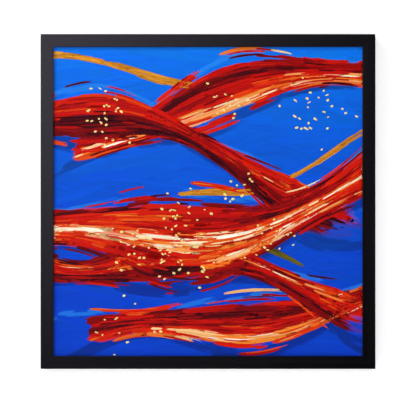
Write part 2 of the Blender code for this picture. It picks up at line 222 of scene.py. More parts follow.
def place(name, mesh, material, replaces=None, hard=True):
    """Adds a piece that rides on the painting, takes the given material if it has none, and hides the node
    it replaces.
    """
    piece = add(name, mesh)
    if hard:
        piece.modifiers.new("flat_faces", "WEIGHTED_NORMAL").keep_sharp = True
    if not mesh.materials:
        mesh.materials.append(material)
    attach(piece, "root")
    if replaces:
        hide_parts(replaces)
    return piece


def shade(mesh, angle=SMOOTH_ANGLE):
    mesh.shade_smooth()
    mesh.set_sharp_from_angle(angle=radians(angle))


def to_world(point, side):
    """A point given for the bottom side, turned about the picture's middle by quarter turns."""
    x, y, z = point
    for _ in range(side):
        x, z = -z, x
    return x, y, z + CENTRE_Z


def arc(centre, radius, start, steps):
    """Points of a quarter circle from the start angle, in quarter turns."""
    angles = [(start + i / steps) * pi / 2 for i in range(steps + 1)]
    return [(centre[0] + radius * cos(a), centre[1] + radius * sin(a)) for a in angles]


def inset(profile, distance):
    """The closed profile moved inwards along the mean normal of each point."""
    moved = []
    for i, (u, v) in enumerate(profile):
        before = Vector(profile[i - 1])
        after = Vector(profile[(i + 1) % len(profile)])
        run = (after - before).normalized()
        moved.append((u - run.y * distance, v + run.x * distance))
    return moved


def skin(bm, loops, indices=None):
    """Faces between successive loops of vertices and over both ends, with material indices."""
    indices = indices or [0] * len(loops)
    for near, far, index in zip(loops, loops[1:], indices):
        for i in range(len(near)):
            face = bm.faces.new((near[i - 1], near[i], far[i], far[i - 1]))
            face.material_index = index
    for end in (0, -1):
        bm.faces.new(loops[end]).material_index = indices[end]


def mitred_mesh(name, profile, half, stations, side):
    """A bar with ends at 45 degrees. The profile is (inward, y) points, counter-clockwise."""
    eased = inset(profile, MITRE_EASE)
    bm = bmesh.new()
    loops = []
    for i in range(-1, stations + 2):
        at_end = i in (-1, stations + 1)
        share = min(max(i / stations, 0), 1)
        trim = MITRE_GAP if at_end else MITRE_GAP + MITRE_EASE
        loop = []
        for inward, y in eased if at_end else profile:
            reach = half - inward - trim
            loop.append(bm.verts.new(to_world(((2 * share - 1) * reach, y, inward - half), side)))
        loops.append(loop)
    skin(bm, loops)
    return made_mesh(name, bm)


def node_mesh(node):
    """A bmesh copy of a CAD node with its flat faces joined."""
    bm = bmesh.new()
    bm.from_mesh(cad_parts[node].data)
    bmesh.ops.remove_doubles(bm, verts=bm.verts, dist=WELD)
    limit = radians(FLAT_ANGLE)
    bmesh.ops.dissolve_limit(bm, angle_limit=limit, verts=bm.verts, edges=bm.edges)
    return bm


def softened(name, node, width, steps):
    """The node's shape with its edges rounded."""
    bm = node_mesh(node)
    limit = radians(EDGE_ANGLE)
    edges = [e for e in bm.edges if e.is_manifold and e.calc_face_angle() > limit]
    how = {"offset_type": "OFFSET", "profile": 0.5, "affect": "EDGES", "clamp_overlap": True}
    bmesh.ops.bevel(bm, geom=edges, offset=width, segments=steps, **how)
    mesh = made_mesh(name, bm)
    shade(mesh)
    return mesh


def cut_out(mesh, nodes, spare):
    """The mesh with pockets for these CAD nodes, a little larger than they are."""
    body = add("body", mesh)
    cutters = []
    for node in nodes:
        bm = node_mesh(node)
        bm.normal_update()
        for vert, shift in [(v, v.normal * spare * v.calc_shell_factor()) for v in bm.verts]:
            vert.co += shift
        cutters.append(add("cutter", made_mesh("cutter", bm)))
        body.modifiers.new("pocket", "BOOLEAN").object = cutters[-1]
    graph = bpy.context.evaluated_depsgraph_get()
    result = bpy.data.meshes.new_from_object(body.evaluated_get(graph), depsgraph=graph)
    result.name = mesh.name
    for obj in [body, *cutters]:
        bpy.data.objects.remove(obj, do_unlink=True)
    return result


def turned_mesh(name, profile, steps, middle):
    """A round solid about the Y axis through a place (x, z), from (radius, y) points."""
    bm = bmesh.new()
    verts = [bm.verts.new((radius, y, 0)) for radius, y in profile]
    edges = [bm.edges.new(pair) for pair in zip(verts, verts[1:])]
    turn = {"cent": (0, 0, 0), "axis": (0, 1, 0), "angle": 2 * pi}
    bmesh.ops.spin(bm, geom=verts + edges, steps=steps, use_merge=True, **turn)
    bmesh.ops.remove_doubles(bm, verts=bm.verts, dist=SPIN_WELD)
    bmesh.ops.translate(bm, verts=bm.verts, vec=(middle[0], 0, middle[1]))
    mesh = made_mesh(name, bm)
    shade(mesh)
    return mesh


def set_values(mesh, name, values, kind="FLOAT_VECTOR", field="vector"):
    """Stores a value for each vertex."""
    layer = mesh.attributes.new(name, kind, "POINT")
    layer.data.foreach_set(field, np.asarray(values, dtype=np.float32).ravel())


def set_grain(mesh, level, seed):
    """Stores places in the wood with the grain along the first axis, different for each seed."""
    places = np.empty(len(mesh.vertices) * 3, dtype=np.float32)
    mesh.vertices.foreach_get("co", places)
    places = places.reshape(-1, 3)
    if not level:
        places = places[:, [2, 1, 0]]
    set_values(mesh, "grain", places + GRAIN_SHIFT * seed)


# Materials

# Noise scales a metre, with the grain, the thread or the brush mark along the first axis
PORES = (14, 900, 900)
VEINS = (5, 260, 260)
WOOD_DRIFT = (3, 30, 30)
WOOD_FIBRE = (22, 1500, 1500)
SLUBS = (60, 60, 1)
LEVEL_THREADS = (9, 1600, 1)
UPRIGHT_THREADS = (1600, 9, 1)
STAINS = (18, 18, 1)
BRISTLES = (28, 1900, 1)
FINE_BRISTLES = (60, 4200, 1)
ZINC_SCRATCHES = (300, 300, 6000)
ZINC_CLOUDS = 420.0
RUBBER_GRIT = 2400.0
WALL_MOTTLE = 3.0
FLOOR_MOTTLE = 2.0

# Depths of the fine relief
PORE_DEPTH = 0.05 * MM
FIBRE_DEPTH = 0.06 * MM
WEAVE_PITCH = 0.62 * MM
WEAVE_DEPTH = 0.14 * MM
PAINTED_WEAVE_DEPTH = 0.06 * MM
FURROW_DEPTH = 0.10 * MM
SCRATCH_DEPTH = 0.008 * MM
GRIT_DEPTH = 0.04 * MM

# Wood: main, light and dark colours, noise scale of the growth rings, roughness
PINE = (((206, 174, 130), (222, 194, 152), (170, 128, 84)), 55, 0.62)
BEECH = (((190, 150, 112), (200, 160, 122), (166, 122, 86)), 30, 0.58)

# Cloth: colours of its threads, of the painted shade in its weave's hollows, and of its stains, roughness
PRIMED = (((236, 234, 228), (206, 203, 194), (60, 110, 190)), 0.7)
RAW = (((214, 202, 178), (168, 154, 126), (186, 172, 142)), 0.85)


class Nodes:
    """Short calls that add nodes to a node tree."""

    def __init__(self, tree):
        self.tree = tree

    def put(self, kind, inputs=None, **settings):
        node = self.tree.nodes.new("ShaderNode" + kind)
        for key, value in settings.items():
            setattr(node, key, value)
        for key, value in (inputs or {}).items():
            if isinstance(value, bpy.types.NodeSocket):
                self.tree.links.new(value, node.inputs[key])
            else:
                node.inputs[key].default_value = value
        return node

    def attribute(self, name, output="Vector"):
        return self.put("Attribute", attribute_name=name).outputs[output]

    def scaled(self, vector, scale):
        return self.put("Mapping", {"Vector": vector, "Scale": scale}).outputs[0]

    def noise(self, vector, scale, detail=3.0, rough=0.5):
        """Noise with one scale, or with a scale along each axis."""
        if isinstance(scale, tuple):
            vector, scale = self.scaled(vector, scale), 1.0
        inputs = {"Vector": vector, "Scale": scale, "Detail": detail, "Roughness": rough}
        return self.put("TexNoise", inputs).outputs[0]

    def ramp(self, factor, stops):
        """Colours at places along a factor from 0 to 1."""
        node = self.put("ValToRGB", {"Fac": factor})
        elements = node.color_ramp.elements
        while len(elements) < len(stops):
            elements.new(0.5)
        for element, (spot, colour) in zip(elements, stops):
            element.position = spot
            element.color = (*colour, 1.0)
        return node.outputs[0]

    def calc(self, operation, first, second=0.0, third=0.0):
        inputs = {0: first, 1: second, 2: third}
        return self.put("Math", inputs, operation=operation).outputs[0]

    def times(self, first, second):
        return self.calc("MULTIPLY", first, second)

    def span(self, factor, low, high):
        """The factor from 0 to 1, spread from low to high."""
        inputs = {"Value": factor, "To Min": low, "To Max": high}
        return self.put("MapRange", inputs).outputs[0]

    def mix(self, factor, first, second, blend="MIX"):
        inputs = {0: factor, 6: first, 7: second}
        return self.put("Mix", inputs, data_type="RGBA", blend_type=blend).outputs[2]

    def bump(self, height, distance, normal=None):
        inputs = {"Height": height, "Distance": distance, "Strength": 1.0}
        if normal:
            inputs["Normal"] = normal
        return self.put("Bump", inputs).outputs[0]


class Surface(Nodes):
    """A material with a shader, whose sockets are given by name."""

    def __init__(self, name, **sockets):
        self.material = bpy.data.materials.new(name)
        self.material.use_nodes = True
        super().__init__(self.material.node_tree)
        self.shader = self.tree.nodes["Principled BSDF"]
        for socket, value in sockets.items():
            self.shader.inputs[socket.replace("_", " ")].default_value = value

    def finish(self, **sockets):
        for socket, value in sockets.items():
            self.tree.links.new(value, self.shader.inputs[socket.replace("_", " ")])
        return self.material


def black_paint():
    """Satin black over open grain."""
    look = Surface("satin_black_paint", Specular_IOR_Level=0.5)
    grain = look.attribute("grain")
    pores = look.noise(grain, PORES, 4.0, 0.6)
    veins = look.noise(grain, VEINS, 2.0, 0.5)
    streaks = look.mix(0.55, pores, veins)
    stops = [(0.32, from_srgb(1, 1, 2)), (0.50, from_srgb(3, 2, 5)), (0.68, from_srgb(8, 7, 10))]
    return look.finish(
        Base_Color=look.ramp(streaks, stops),
        Roughness=look.span(streaks, 0.30, 0.50),
        Normal=look.bump(pores, PORE_DEPTH),
    )


def bare_wood(name, colours, rings, roughness):
    """Planed wood with growth rings along the first axis of its grain."""
    main, light, dark = (from_srgb(*colour) for colour in colours)
    look = Surface(name, Specular_IOR_Level=0.3)
    grain = look.attribute("grain")
    drift = look.noise(grain, WOOD_DRIFT, 2.0)
    wide = look.scaled(grain, (1.4, rings, rings))
    bend = look.times(drift, 4.0)
    bent = look.put("VectorMath", {0: wide, 1: bend}, operation="ADD")
    growth = look.noise(bent.outputs[0], 1.0, 2.0, 0.4)
    banding = look.calc("PINGPONG", look.times(growth, 17.0), 1.0)
    fibre = look.noise(grain, WOOD_FIBRE, 3.0, 0.6)
    colour = look.ramp(banding, [(0.0, light), (0.55, main), (0.86, dark), (1.0, light)])
    flecked = look.mix(look.span(fibre, -0.15, 0.75), colour, (*dark, 1.0))
    return look.finish(
        Base_Color=flecked,
        Roughness=look.span(fibre, roughness - 0.08, roughness + 0.1),
        Normal=look.bump(fibre, FIBRE_DEPTH),
    )


def weave_height(look, flat):
    """Threads that go over and under each other, from places on the flat cloth."""
    half_turn = pi / WEAVE_PITCH
    parts = look.put("SeparateXYZ", {0: flat})
    slub = look.noise(flat, SLUBS, 2.0)
    drift = look.times(slub, 0.35 * WEAVE_PITCH)
    waves = []
    for part in parts.outputs[:2]:
        turns = look.times(look.calc("ADD", part, drift), half_turn)
        waves.append(look.calc("SINE", turns))
    side = look.calc("GREATER_THAN", look.times(*waves), 0.0)
    warp, weft = (look.calc("ABSOLUTE", wave) for wave in waves)
    first = look.times(warp, side)
    second = look.times(weft, look.calc("SUBTRACT", 1.0, side))
    return look.calc("ADD", first, second), slub


def cloth(name, colours, roughness):
    """Woven cotton, with uneven threads, painted shade in the hollows of the weave and faint stains."""
    thread, shaded_hollow, stain = ((*from_srgb(*colour), 1.0) for colour in colours)
    look = Surface(name, Specular_IOR_Level=0.2, Sheen_Weight=0.15, Sheen_Roughness=0.5)
    flat = look.attribute("grain")
    height, slub = weave_height(look, flat)
    level = look.noise(flat, LEVEL_THREADS, 2.0)
    upright = look.noise(flat, UPRIGHT_THREADS, 2.0)
    threads = look.span(look.calc("ADD", level, upright), -0.5, 1.0)
    relief = look.times(height, look.calc("ADD", threads, 0.45))
    soaked = look.noise(flat, STAINS, 4.0, 0.65)
    wet = look.ramp(soaked, [(0.55, (0, 0, 0)), (0.78, (0.35, 0.35, 0.35))])
    return look.finish(
        # Painted shade: the colour darkens to the hollow colour where the weave is low, between the
        # threads
        Base_Color=look.mix(wet, look.mix(relief, shaded_hollow, thread), stain),
        Roughness=look.span(slub, roughness - 0.08, roughness + 0.08),
        Normal=look.bump(relief, WEAVE_DEPTH),
    )


def paint():
    """Thick artist's paint: streaks along each brush mark over the relief of the film."""
    look = Surface("brushed_paint", Specular_IOR_Level=0.10)
    marks = look.attribute("marks")
    streaks = look.noise(marks, BRISTLES, 3.0, 0.55)
    fine = look.noise(marks, FINE_BRISTLES, 2.0)
    height, _ = weave_height(look, look.attribute("grain"))
    thin = look.attribute("thin", "Fac")
    inside = look.attribute("inside", "Fac")
    both = look.calc("ADD", look.span(streaks, -0.5, 0.5), look.span(fine, -0.2, 0.2))
    ridged = look.times(both, inside)
    tone = look.calc("MULTIPLY_ADD", ridged, 0.42, 1.0)
    colour = look.mix(1.0, look.attribute("paint", "Color"), tone, "MULTIPLY")
    furrows = look.bump(ridged, FURROW_DEPTH)
    below = look.bump(look.times(height, thin), PAINTED_WEAVE_DEPTH, furrows)
    return look.finish(
        Base_Color=colour,
        Roughness=look.span(streaks, 0.36, 0.58),
        Normal=below,
    )


def zinc():
    """Zinc plate: dull grey with a faint yellow cast and fine scratches."""
    look = Surface("zinc_plate", Metallic=1.0)
    where = look.put("TexCoord").outputs["Object"]
    scratches = look.noise(where, ZINC_SCRATCHES, 3.0, 0.6)
    levels = ((0.25, (150, 150, 148)), (0.55, (186, 187, 188)), (0.80, (206, 203, 190)))
    stops = [(spot, from_srgb(*level)) for spot, level in levels]
    return look.finish(
        Base_Color=look.ramp(look.noise(where, ZINC_CLOUDS, 3.0), stops),
        Roughness=look.span(scratches, 0.24, 0.48),
        Normal=look.bump(scratches, SCRATCH_DEPTH),
    )


def rubber():
    look = Surface("grey_rubber", Specular_IOR_Level=0.35)
    where = look.put("TexCoord").outputs["Object"]
    grit = look.noise(where, RUBBER_GRIT, 3.0, 0.6)
    colour = look.ramp(grit, [(0.3, from_srgb(70, 70, 72)), (0.7, from_srgb(96, 96, 97))])
    return look.finish(
        Base_Color=colour,
        Roughness=look.span(grit, 0.72, 0.92),
        Normal=look.bump(grit, GRIT_DEPTH),
    )


# Frame

def rail_profile():
    """Section of a rail: rounded front edges, a lip over the canvas and a wall beside it."""
    width = HALF - SIGHT
    lip_back = FRAME_FRONT + LIP_THICKNESS
    outer = arc((OUTER_ARRIS, FRAME_FRONT + OUTER_ARRIS), OUTER_ARRIS, 2, 2 * ARRIS_STEPS)
    sight = arc((width - SIGHT_ARRIS, FRAME_FRONT + SIGHT_ARRIS), SIGHT_ARRIS, 3, 2 * ARRIS_STEPS)
    inner = arc((RAIL_WALL - BACK_ARRIS, FRAME_BACK - BACK_ARRIS), BACK_ARRIS, 0, ARRIS_STEPS)
    back = arc((BACK_ARRIS, FRAME_BACK - BACK_ARRIS), BACK_ARRIS, 1, ARRIS_STEPS)
    return outer + sight + [(width, lip_back), (RAIL_WALL, lip_back)] + inner + back


def make_side_bars(material, names, shape, seed, pockets):
    """Four mitred bars of the frame or the stretcher, with pockets for the nodes they hold."""
    for side, word in enumerate(SIDES):
        name, node = (stem + word for stem in names)
        mesh = cut_out(mitred_mesh(name, *shape, side), pockets[side], POCKET_SPARE)
        shade(mesh)
        set_grain(mesh, side % 2 == 0, side + seed)
        place(name, mesh, material, node)


def make_rails(material):
    # The two nails at a side's first corner belong to the side before
    numbers = [(2 * n + 1, 2 * n + 2, (2 * n - 2) % 8 + 1, (2 * n - 1) % 8 + 1) for n in range(4)]
    pockets = [[f"corner_nail_{n}" for n in each] for each in numbers]
    names = ("painted_rail_", "rail_")
    shape = (rail_profile(), HALF, RAIL_STATIONS)
    make_side_bars(material, names, shape, RAIL_SEED, pockets)


def make_steel(material, kinds, numbers):
    """Steel pieces that are their solids with rounded edges."""
    pieces = []
    for number in numbers:
        for stem, node_stem, width, steps in kinds:
            node = f"{node_stem}{number}"
            mesh = softened(f"{stem}{number}", node, width, steps)
            pieces.append(place(mesh.name, mesh, material, node))
    return pieces


# Stretcher

def bar_profile():
    """Section of a bar: a bead at the outer edge, then a face that falls away from the canvas."""
    back = arc((BAR_WIDTH - BAR_ARRIS, BAR_BACK - BAR_ARRIS), BAR_ARRIS, 0, ARRIS_STEPS)
    outer_back = arc((BAR_ARRIS, BAR_BACK - BAR_ARRIS), BAR_ARRIS, 1, ARRIS_STEPS)
    bead = arc((BAR_ARRIS, BAR_FRONT + BAR_ARRIS), BAR_ARRIS, 2, ARRIS_STEPS)
    bead_end = [(BEAD_WIDTH - BAR_ARRIS, BAR_FRONT), (BEAD_WIDTH, BAR_FRONT + BAR_ARRIS / 3)]
    fall = [
        (BEAD_WIDTH + BAR_FALL, BAR_FRONT + BAR_FALL / 2),
        (BAR_WIDTH - BAR_ARRIS, BAR_FRONT + BAR_FALL),
        (BAR_WIDTH, BAR_FRONT + BAR_FALL + BAR_ARRIS),
    ]
    return bead + bead_end + fall + back + outer_back


def make_bars(material):
    pockets = [[f"wedge_{2 * n + 1}", f"wedge_{2 * n + 2}"] for n in range(4)]
    names = ("pine_bar_", "stretcher_")
    shape = (bar_profile(), BAR_HALF, BAR_STATIONS)
    make_side_bars(material, names, shape, BAR_SEED, pockets)


def make_wedges(material):
    for number in range(1, 2 * len(SIDES) + 1):
        node = f"wedge_{number}"
        mesh = softened(f"corner_wedge_{number}", node, WEDGE_ARRIS, WEDGE_STEPS)
        side = (number - 1) // 2
        set_grain(mesh, side % 2 == 1, WEDGE_SEED + number - 1)
        place(mesh.name, mesh, material, node)


# Canvas

def ring(half, corner):
    """Points round a square with rounded corners, each with its side and its place along it."""
    points = []
    straight_half = half - corner
    for side in range(4):
        for i in range(RING_STEPS + 1):
            # Closer together towards the corners
            share = sin((i / RING_STEPS - 0.5) * pi)
            points.append((share * straight_half, -half, side, share * half))
        for i in range(1, CORNER_STEPS):
            angle = i / CORNER_STEPS * pi / 2
            x = straight_half + corner * sin(angle)
            points.append((x, -straight_half - corner * cos(angle), side, half))
    return points


def canvas_stations():
    """Half width, depth and flat half width of the cloth, from the front's middle to the cut edge."""
    bend = CLOTH_BEND
    fold = CANVAS_HALF - bend
    outer = [(share * fold, CANVAS_FRONT) for share in np.linspace(*FACE_RINGS)]
    outer += arc((fold, CANVAS_FRONT + bend), bend, 3, BEND_RINGS)
    outer.append((CANVAS_HALF, (CANVAS_FRONT + FLANGE_OUTER) / 2))
    outer += arc((fold, FLANGE_OUTER - bend), bend, 0, BEND_RINGS)
    for share in np.linspace(*FLANGE_RINGS):
        outer.append((fold - share * (FLANGE_WIDTH - bend), FLANGE_OUTER))
    flat = 0.0
    stations = []
    before = (0.0, CANVAS_FRONT)
    for half, y in outer:
        flat += hypot(half - before[0], y - before[1])
        stations.append((half, y, flat))
        before = (half, y)
    return stations


def cloth_offset(stations, i):
    """The cloth's normal at a station, pointing out of its painted face."""
    before = stations[max(i - 1, 0)]
    after = stations[min(i + 1, len(stations) - 1)]
    run = Vector((after[0] - before[0], after[1] - before[1])).normalized()
    return run.y, -run.x


def step_up(value, low, high):
    share = min(max((value - low) / (high - low), 0), 1)
    return share * share * (3 - 2 * share)


def lift(half, along, side, depth_share):
    """How far the turned-in cloth stands off the bars: puckers between staples and corner folds.

    At a corner the upright side is folded over the level one, and each hides a tucked ply that
    ends on a slanting line.
    """
    pucker = PUCKER * (0.5 - 0.5 * cos(2 * pi * along / STAPLE_PITCH))
    to_corner = half - abs(along)
    from_edge = CANVAS_HALF - half
    over = FOLD_RISE if side % 2 else 0.0
    folded = over * (1 - step_up(to_corner, 0.25 * FOLD_REACH, 1.6 * FOLD_REACH))
    ply_end = (0.9 if side % 2 else 1.25) * (FLANGE_WIDTH - from_edge)
    ply = PLY_RISE * (1 - step_up(to_corner, ply_end - PLY_EASE, ply_end))
    return (pucker + folded + ply) * depth_share


def canvas_mesh(name):
    """One cloth over the front and the sides, turned in behind the bars, with a raw cut edge."""
    rng = np.random.default_rng(SEED)
    stations = canvas_stations()
    waves = rng.uniform(0, 2 * pi, FRAY_WAVES)
    bm = bmesh.new()
    loops, flat_places = [], []
    count = len(stations)
    for layer, order in enumerate((range(count), range(count - 1, -1, -1))):
        for i in order:
            half, y, flat = stations[i]
            out, back = cloth_offset(stations, i)
            drop = CLOTH_THICKNESS * layer
            turned_in = y > BAR_BACK and half < CANVAS_HALF - CLOTH_BEND / 2
            share = (CANVAS_HALF - half) / FLANGE_WIDTH if turned_in else 0.0
            worn = max(share - FRAY_FROM, 0) / (1 - FRAY_FROM)
            edge = flat / half
            loop = []
            for x, z, side, along in ring(half, min(CLOTH_CORNER, half / 4)):
                frayed = sum(sin(along * k * FRAY_TURNS + w + side) for k, w in enumerate(waves, 1))
                rise = lift(half, along, side, min(share * 4, 1)) if turned_in else 0.0
                scale = (half - out * drop) / half * (1 - FRAY * frayed * worn / half)
                point = to_world((x * scale, y - back * drop + rise, z * scale), side)
                loop.append(bm.verts.new(point))
                flat_places.append((*to_world((x * edge, 0, z * edge), side), layer))
            loops.append(loop)
    skin(bm, loops, [0] * count + [1] * count)
    mesh = made_mesh(name, bm)
    set_values(mesh, "grain", [(x, z, LAYER_SHIFT * layer) for x, _, z, layer in flat_places])
    shade(mesh, CLOTH_ANGLE)
    return mesh


def add_thread(bm, points, radius):
    """A thin closed tube through the points, with four sides."""
    loops = []
    for i, point in enumerate(points):
        run = points[min(i + 1, len(points) - 1)] - points[max(i - 1, 0)]
        side = run.cross(Vector((0, 1, 0))).normalized() * radius
        up = Vector((0, 1, 0)) * radius
        loops.append([bm.verts.new(point + shift) for shift in (side, up, -side, -up)])
    skin(bm, loops)


def make_threads(material):
    """Loose ends of thread along the cloth's raw edge, lying on the bars."""
    rng = np.random.default_rng(SEED + 1)
    bm = bmesh.new()
    for side in range(4):
        for _ in range(THREADS_A_SIDE):
            along = rng.uniform(-1, 1) * (CANVAS_HALF - FLANGE_WIDTH - THREAD_CLEAR)
            length = rng.uniform(*THREAD_LENGTHS)
            lean, curl = rng.normal(0, 0.3), rng.normal(0, 0.9)
            points = []
            for share in np.linspace(0, 1, THREAD_POINTS):
                x = along + length * (lean * share + curl * share * share)
                z = FLANGE_WIDTH - CANVAS_HALF + length * share - THREAD_ROOT
                y = BAR_BACK + THREAD_TOP - THREAD_FALL * share
                points.append(Vector(to_world((x, y, z), side)))
            add_thread(bm, points, THREAD_RADIUS)
    mesh = made_mesh("frayed_threads", bm)
    mesh.shade_smooth()
    places = np.array([vert.co for vert in mesh.vertices])
    set_values(mesh, "grain", places[:, [0, 2, 1]])
    return place("frayed_threads", mesh, material, hard=False)


def make_canvas(primed, raw):
    mesh = canvas_mesh("stretched_canvas")
    mesh.materials.append(primed)
    mesh.materials.append(raw)
    return place("stretched_canvas", mesh, primed, "canvas", hard=False)


# Painting

# Colours of the ground by height and of the bands by tone, then those of single marks
BLUES = (
    (-0.25, (2, 61, 197)),
    (-0.10, (2, 68, 201)),
    (0.02, (2, 80, 207)),
    (0.14, (2, 96, 220)),
    (0.25, (3, 114, 234)),
)
GLOW = (
    (-1.25, (58, 4, 14)),
    (-0.90, (98, 2, 8)),
    (-0.50, (148, 4, 5)),
    (-0.05, (198, 10, 2)),
    (0.35, (216, 30, 3)),
    (0.62, (228, 76, 8)),
    (0.82, (240, 142, 44)),
    (1.00, (249, 214, 158)),
    (1.25, (253, 244, 226)),
)
PIGMENT_DEPTH = 0.80
FLECK = (246, 224, 142)
OLIVE = (104, 92, 22)
OCHRE = (206, 134, 34)
NAVY = (4, 24, 104)
SKY = (44, 146, 244)

# A band's line is a slope with a wave of this swing and length, its half width swells along it
Band = namedtuple("Band", "height slope swing wave phase half swell warmth start end")
BANDS = (
    Band(0.150, 0.20, 0.026, 0.62, 0.6, 0.027, 0.50, -0.10, -0.215, 0.30),
    Band(0.066, -0.30, 0.034, 0.57, 2.5, 0.024, 0.55, -0.45, -0.30, 0.205),
    Band(-0.020, 0.24, 0.042, 0.72, 4.2, 0.040, 0.45, 0.05, -0.30, 0.30),
    Band(-0.118, -0.16, 0.030, 0.52, 1.3, 0.024, 0.50, -0.30, -0.30, 0.225),
    Band(-0.190, 0.20, 0.022, 0.60, 3.3, 0.025, 0.45, -0.05, -0.195, 0.30),
)
RIBBONS = (
    (Band(0.195, -0.10, 0.014, 0.40, 5.0, 0.0050, 0.3, 0.0, -0.30, 0.02), OCHRE),
    (Band(-0.075, -0.22, 0.022, 0.42, 0.6, 0.0046, 0.3, 0.0, -0.24, 0.16), OLIVE),
    (Band(0.010, 0.34, 0.020, 0.36, 2.9, 0.0050, 0.3, 0.0, -0.05, 0.27), OCHRE),
)

# How far from the middle marks may start
FIELD_X = 0.27
FIELD_Z = 0.25
# Marks of the ground in two goes: length, half width, load in mm, count
GROUND = ((0.17, 0.014, 0.10, 330), (0.09, 0.007, 0.12, 420))
SHADOW_MARKS = 46
LIGHT_MARKS = 20
# Marks one after another along a band: its lanes, clear end, lengths, and step by the length
UNDER = ((-0.62, 0.62, -0.25, 0.25, 0.0), 0.06, (0.08, 0.14), 0.6)
WIDE = ((-0.6, 0.6, -0.2, 0.2), 0.05, (0.07, 0.12), 0.62)
# Raised marks of a band: count by its half width, spread across it, lengths, half widths and
# loads in mm, shifts of tone, dryness
SHAPING = (5200, 0.60, (0.040, 0.115), (1.9, 4.2), (0.28, 0.42), (-0.2, 0, 0.15), 0.8)
DETAIL = (5600, 0.72, (0.018, 0.070), (0.9, 1.8), (0.34, 0.50), (-0.7, -0.4, 0.2, 0.45), 0.9)
RIBBON_MARKS = 300
CLUSTERS = 13
CLUSTER_SPREAD = 0.022


def pigment(red, green, blue):
    """The paint that shows as this sRGB colour under the studio light."""
    return from_srgb(red, green, blue) * PIGMENT_DEPTH


def blend_stops(stops, values):
    """Paint for values between (value, sRGB colour) stops."""
    places = [value for value, _ in stops]
    colours = np.array([pigment(*colour) for _, colour in stops])
    return np.stack([np.interp(values, places, colours[:, i]) for i in range(3)], axis=-1)


def line_of(band, across=0.0):
    """The line that a brush follows along a band: its height and its slope's cosine at each x."""
    turn = 2 * pi / band.wave

    def line(x):
        middle = band.height + band.slope * x + band.swing * np.sin(turn * x + band.phase)
        slope = band.slope + band.swing * turn * np.cos(turn * x + band.phase)
        width = band.half * (1 + band.swell * np.sin(1.7 * turn * x + 2 * band.phase))
        return middle + across * width, 1 / np.sqrt(1 + slope**2)

    return line


